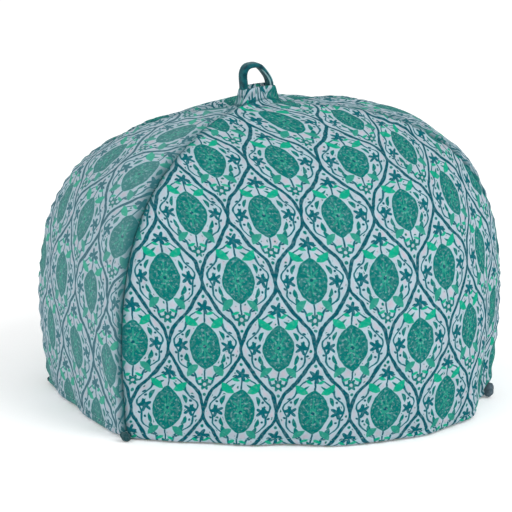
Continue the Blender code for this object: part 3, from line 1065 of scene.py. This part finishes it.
class COSY_OT_lay_panels(CosyOperator, bpy.types.Operator):
    """Lays the four wadded panels in their places and prints their cloth"""

    bl_idname = "cosy.lay_panels"
    bl_label = "Lay panels"

    def make(self, scene):
        lining = lining_finish("plain_lining", scene.cosy_print.lining)
        for name in PANELS:
            self.lay(name, scene, lining)

    def lay(self, name, scene, lining):
        """One panel: a flat grid, thickened, then laid on the lines of its solid."""
        fresh()
        skin = Skin(name, scene.cosy_cloth)
        piece, flat = thick_grid(skin.columns, skin.rows)
        mesh = piece.data
        if len(flat) != 2 * skin.rows * skin.columns:
            raise RuntimeError(f"{name}: the grid has {len(flat)} points")
        column = np.rint((flat[:, 0] + 0.5) * (skin.columns - 1)).astype(int)
        row = np.rint((flat[:, 1] + 0.5) * (skin.rows - 1)).astype(int)
        inside = flat[:, 2] < -0.5
        points = np.where(inside[:, None], skin.inner[row, column], skin.outer[row, column])
        write_points(mesh, points)
        add_uv(mesh, np.stack([skin.along[row, column], skin.high[row, column]], -1))
        add_seam_shade(mesh, skin.seam_shade()[row, column])
        lined = [int(all(inside[corner] for corner in face.vertices)) for face in mesh.polygons]

        smoothed()
        cloth = print_finish(name + "_print", scene.cosy_print, **CUTS[name])
        finished(piece, name + "_cloth", cloth, lining)
        mesh.polygons.foreach_set("material_index", lined)
        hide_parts(name)


class COSY_OT_sew_hem(CosyOperator, bpy.types.Operator):
    """Sews the row of stitches along the hem"""

    bl_idname = "cosy.sew_hem"
    bl_label = "Sew hem"

    def make(self, scene):
        thread = scene.cosy_thread
        stitch = self.stitch(thread)
        shape = read_points(stitch.data)
        faces = [tuple(face.vertices) for face in stitch.data.polygons]
        bpy.data.objects.remove(stitch)

        points, all_faces, made = [], [], 0
        for name in PANELS:
            skin = Skin(name, scene.cosy_cloth)
            track = skin.hem_track(scene.cosy_cloth.hem_line, thread.pitch)
            for place, along, facing in zip(*track):
                across = np.cross(facing, along)
                turned = shape @ np.array([along, across, facing])
                points.append(turned + place + facing * STITCH_RISE * thread.radius)
                all_faces += [tuple(made * len(shape) + corner for corner in face) for face in faces]
                made += 1
        mesh = bpy.data.meshes.new("hem_stitches")
        mesh.from_pydata(np.concatenate(points).tolist(), [], all_faces)
        piece = bpy.data.objects.new("hem_stitches", mesh)
        scene.collection.objects.link(piece)
        bpy.context.view_layer.objects.active = piece
        piece.select_set(True)
        bpy.ops.object.shade_smooth()
        finished(piece, "hem_stitches", thread_finish("hem_thread", thread.colour))

    def stitch(self, thread):
        """One stitch: a short thread that dips into the cloth at both ends."""
        bpy.ops.mesh.primitive_cylinder_add(vertices=6, radius=thread.radius, depth=thread.length,
                                            end_fill_type="TRIFAN", rotation=(0, math.pi / 2, 0))
        piece = bpy.context.object
        bpy.ops.object.transform_apply(location=False, rotation=True, scale=False)
        selected_edit()
        for share in STITCH_BENDS:
            bpy.ops.mesh.select_all(action="SELECT")
            bpy.ops.mesh.bisect(plane_co=(share * thread.length, 0, 0), plane_no=(1, 0, 0))
        closed_outward()
        points = read_points(piece.data)
        share = points[:, 0] / (thread.length / 2)
        points[:, 2] -= STITCH_DIP * thread.radius * share ** 2
        write_points(piece.data, points)
        return piece


class COSY_OT_roll_seam_ends(CosyOperator, bpy.types.Operator):
    """Rolls up the ends of the seams at the four corners of the hem"""

    bl_idname = "cosy.roll_seam_ends"
    bl_label = "Roll seam ends"

    def make(self, scene):
        loop = scene.cosy_loop
        finishes = {
            True: rolled_finish("seam_end_grey", loop.end_grey),
            False: rolled_finish("seam_end_teal", loop.end_teal),
        }
        for name, corner in SEAM_ENDS.items():
            fresh()
            self.roll(corner["size"] * loop.end_radius, corner["size"] * loop.end_length)
            piece = bpy.context.object
            self.place(piece, **{key: corner[key] for key in ("side", "slip", "lean")})
            finished(piece, name, finishes[corner["grey"]])

    def roll(self, radius, length):
        """A short roll of cloth: a drum with coiled ends, bevelled and rounded off."""
        bpy.ops.mesh.primitive_cylinder_add(vertices=DRUM_SIDES, radius=radius, depth=length)
        piece = bpy.context.object
        bpy.ops.object.mode_set(mode="EDIT")
        for side in (-1, 1):
            bpy.ops.mesh.select_mode(type="FACE")
            bpy.ops.mesh.select_all(action="DESELECT")
            bpy.ops.object.mode_set(mode="OBJECT")
            for face in piece.data.polygons:
                face.select = face.normal.z * side > 0.9
            bpy.ops.object.mode_set(mode="EDIT")
            for inset, rise in COIL:
                bpy.ops.mesh.inset(thickness=inset * radius)
                bpy.ops.transform.translate(value=(0, 0, side * rise * radius))
        bpy.ops.mesh.select_all(action="SELECT")
        bpy.ops.mesh.bevel(offset=DRUM_BEVEL * radius, segments=1, affect="EDGES", clamp_overlap=True)
        closed_outward()
        smooth = piece.modifiers.new("round", "SUBSURF")
        smooth.levels = smooth.render_levels = 2
        bpy.ops.object.modifier_apply(modifier=smooth.name)
        points = read_points(piece.data)
        turn = np.arctan2(points[:, 1], points[:, 0])
        climb = points[:, 2] / length
        twist = 1 + sum(depth * np.sin(folds * turn + way * climb) for depth, folds, way in TWIST)
        barrel = np.sqrt(1 - BARREL * np.clip(2 * climb, -1, 1) ** 2)
        points[:, :2] *= (twist * barrel)[:, None]
        write_points(piece.data, points)
        bpy.ops.object.shade_smooth()

    def place(self, piece, side, slip, lean):
        """Sets the roll on the floor near its corner, leaning along the hem."""
        corner = settled(point_at(seam_curve(), np.zeros(1)) * np.array([*side, 1]), 1)[0]
        tilt = Matrix.Rotation(math.radians(lean), 4, Vector((side[1] * TILT_X, side[0] * TILT_Y, 0)))
        spin = Matrix.Rotation(SPIN_X * side[0] + SPIN_Y * side[1], 4, "Z")
        piece.data.transform(tilt @ spin)
        points = read_points(piece.data)
        points += (corner[0] + slip[0], corner[1] + slip[1], -points[:, 2].min())
        write_points(piece.data, points)


class COSY_OT_bend_loop(CosyOperator, bpy.types.Operator):
    """Bends the hanging loop out of its folded strip"""

    bl_idname = "cosy.bend_loop"
    bl_label = "Bend loop"

    def make(self, scene):
        loop = scene.cosy_loop
        low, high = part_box("hanging_loop")
        piece, flat = thick_grid(LOOP_STEPS + 1, LOOP_STRANDS + 1)
        along, across, under = flat[:, 0] + 0.5, 2 * flat[:, 1], flat[:, 2] < -0.5

        line, out = self.line(loop, low[2] - loop.sunk, high[2])
        share = np.linspace(0, 1, len(line))
        middle, facing = (np.stack([np.interp(along, share, column) for column in track.T], -1)
                          for track in (line, out))
        edge = np.sqrt(np.clip(1 - np.abs(across) ** LOOP_EDGE_POWER, LOOP_EDGE_LEAST, 1))
        groove = LOOP_GROOVE * np.exp(-((np.abs(across) - LOOP_GROOVE_AT) / LOOP_GROOVE_WIDTH) ** 2)
        off = loop.thickness / 2 * (edge - groove) * np.where(under, -1, 1)
        for reach, turn, phase in LOOP_WANDER:
            off = off + reach * np.sin(turn * along + phase)
        place = middle + unit(facing) * off[:, None]
        side = across * loop.width / 2 * (1 + LOOP_SWELL * np.sin(LOOP_SWELL_TURN * along))
        x = place[:, 0] * math.cos(LOOP_YAW) - side * math.sin(LOOP_YAW)
        y = place[:, 0] * math.sin(LOOP_YAW) + side * math.cos(LOOP_YAW)
        write_points(piece.data, np.stack([x + CROSSING_X + STAND_X, y, place[:, 1]], -1))
        add_uv(piece.data, np.stack([along * curve_length(line)[-1], side], -1))
        smoothed()
        finished(piece, "hanging_loop_strap", loop_finish("loop_cloth", loop))
        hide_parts("hanging_loop")

    def line(self, loop, level, top):
        """The middle line of the strip in its own plane, foot to foot, and the way out from it."""
        half = loop.span / 2 - loop.thickness / 2
        turn = np.linspace(np.pi, 0, LOOP_LINE)
        rise = np.abs(np.sin(turn)) ** LOOP_RISE_POWER
        waist = np.where(turn > np.pi / 2, LOOP_WAIST, 0) * (1 - rise) ** 2
        x = half * (1 - waist) * np.sign(np.cos(turn)) * np.abs(np.cos(turn)) ** LOOP_REACH_POWER
        x = x + LOOP_LEAN_X * rise ** 2
        line = np.stack([x, level + (top - loop.thickness / 2 - level) * rise], -1)
        line = point_at(line, np.linspace(0, 1, LOOP_LINE))
        way = unit(np.gradient(line, axis=0))
        return line, np.stack([-way[:, 1], way[:, 0]], -1)


class COSY_OT_set_stage(CosyOperator, bpy.types.Operator):
    """Sets the pale floor, the soft lights and the camera"""

    bl_idname = "cosy.set_stage"
    bl_label = "Set stage"

    def make(self, scene):
        stage = scene.cosy_stage
        self.floor(stage)
        self.lights(scene, stage)
        self.camera(scene, stage)
        scene.view_settings.view_transform = "Standard"
        scene.view_settings.look = "None"

    def floor(self, stage):
        """A wide flat floor just under the hem."""
        bpy.ops.mesh.primitive_plane_add(size=FLOOR_SIZE, location=(0, 0, FLOOR_Z))
        piece = bpy.context.object
        bpy.ops.object.transform_apply(location=True, rotation=True, scale=True)
        piece.name = "studio_floor"
        piece.data.materials.append(floor_finish("studio_floor", stage.floor, stage.glow))

    def lights(self, scene, stage):
        """Light from all round, one large soft light and a smaller one."""
        world = scene.world or bpy.data.worlds.new("studio")
        scene.world = world
        world.use_nodes = True
        sky = world.node_tree.nodes["Background"]
        sky.inputs["Color"].default_value = (1, 1, 1, 1)
        sky.inputs["Strength"].default_value = stage.sky
        aim = Vector((0, 0, 0.1))
        for name, place, size, power in (
            ("main_light", (0.9, -1.6, 1.7), 1.4, stage.key),
            ("second_light", (-1.8, -0.6, 1.0), 1.2, stage.fill),
        ):
            light = bpy.data.lights.new(name, "AREA")
            light.size = size
            light.energy = power
            lamp = bpy.data.objects.new(name, light)
            lamp.location = place
            lamp.rotation_euler = (Vector(place) - aim).to_track_quat("Z", "Y").to_euler()
            scene.collection.objects.link(lamp)

    def camera(self, scene, stage):
        """The photograph's view."""
        azimuth, elevation = stage.azimuth, stage.elevation
        back = Vector((-math.sin(azimuth) * math.cos(elevation),
                       -math.cos(azimuth) * math.cos(elevation), math.sin(elevation)))
        aim = Vector((stage.aim_x * math.cos(azimuth), -stage.aim_x * math.sin(azimuth), stage.aim_z))
        data = bpy.data.cameras.new("view")
        data.sensor_width = SENSOR
        data.lens = stage.focal / PICTURE * SENSOR
        data.shift_x = stage.shift / PICTURE
        data.clip_end = 100
        camera = bpy.data.objects.new("view", data)
        camera.location = aim + back * stage.distance
        camera.rotation_euler = back.to_track_quat("Z", "Y").to_euler()
        scene.collection.objects.link(camera)
        scene.camera = camera


class COSY_PT_sidebar(bpy.types.Panel):
    """Lists the cosy's operators and settings."""

    bl_idname = "COSY_PT_sidebar"
    bl_label = "Tea Cosy"
    bl_space_type = "VIEW_3D"
    bl_region_type = "UI"
    bl_category = "Tea Cosy"

    def draw(self, context):
        """A box for each operator, with its settings under it."""
        scene = context.scene
        for operator, groups in OPERATORS.items():
            box = self.layout.box()
            box.operator(operator.bl_idname)
            for group in groups:
                settings = getattr(scene, group)
                for key in settings.__annotations__:
                    box.prop(settings, key)


SETTINGS = {
    "cosy_cloth": CosyCloth,
    "cosy_print": CosyPrint,
    "cosy_thread": CosyThread,
    "cosy_loop": CosyLoop,
    "cosy_stage": CosyStage,
}

OPERATORS = {
    COSY_OT_lay_panels: ("cosy_cloth", "cosy_print"),
    COSY_OT_sew_hem: ("cosy_thread",),
    COSY_OT_roll_seam_ends: (),
    COSY_OT_bend_loop: ("cosy_loop",),
    COSY_OT_set_stage: ("cosy_stage",),
}


def register():
    """Adds the settings, the operators and the sidebar panel to Blender."""
    for name, group in SETTINGS.items():
        bpy.utils.register_class(group)
        setattr(bpy.types.Scene, name, bpy.props.PointerProperty(type=group))
    for kind in (*OPERATORS, COSY_PT_sidebar):
        bpy.utils.register_class(kind)


def unregister():
    """Takes them out again."""
    for kind in (COSY_PT_sidebar, *reversed(OPERATORS)):
        bpy.utils.unregister_class(kind)
    for name, group in SETTINGS.items():
        delattr(bpy.types.Scene, name)
        bpy.utils.unregister_class(group)


def main():
    """Makes every piece, then the stage."""
    register()
    bpy.ops.cosy.lay_panels()
    bpy.ops.cosy.sew_hem()
    bpy.ops.cosy.roll_seam_ends()
    bpy.ops.cosy.bend_loop()
    bpy.ops.cosy.set_stage()


if __name__ == "__main__":
    main()
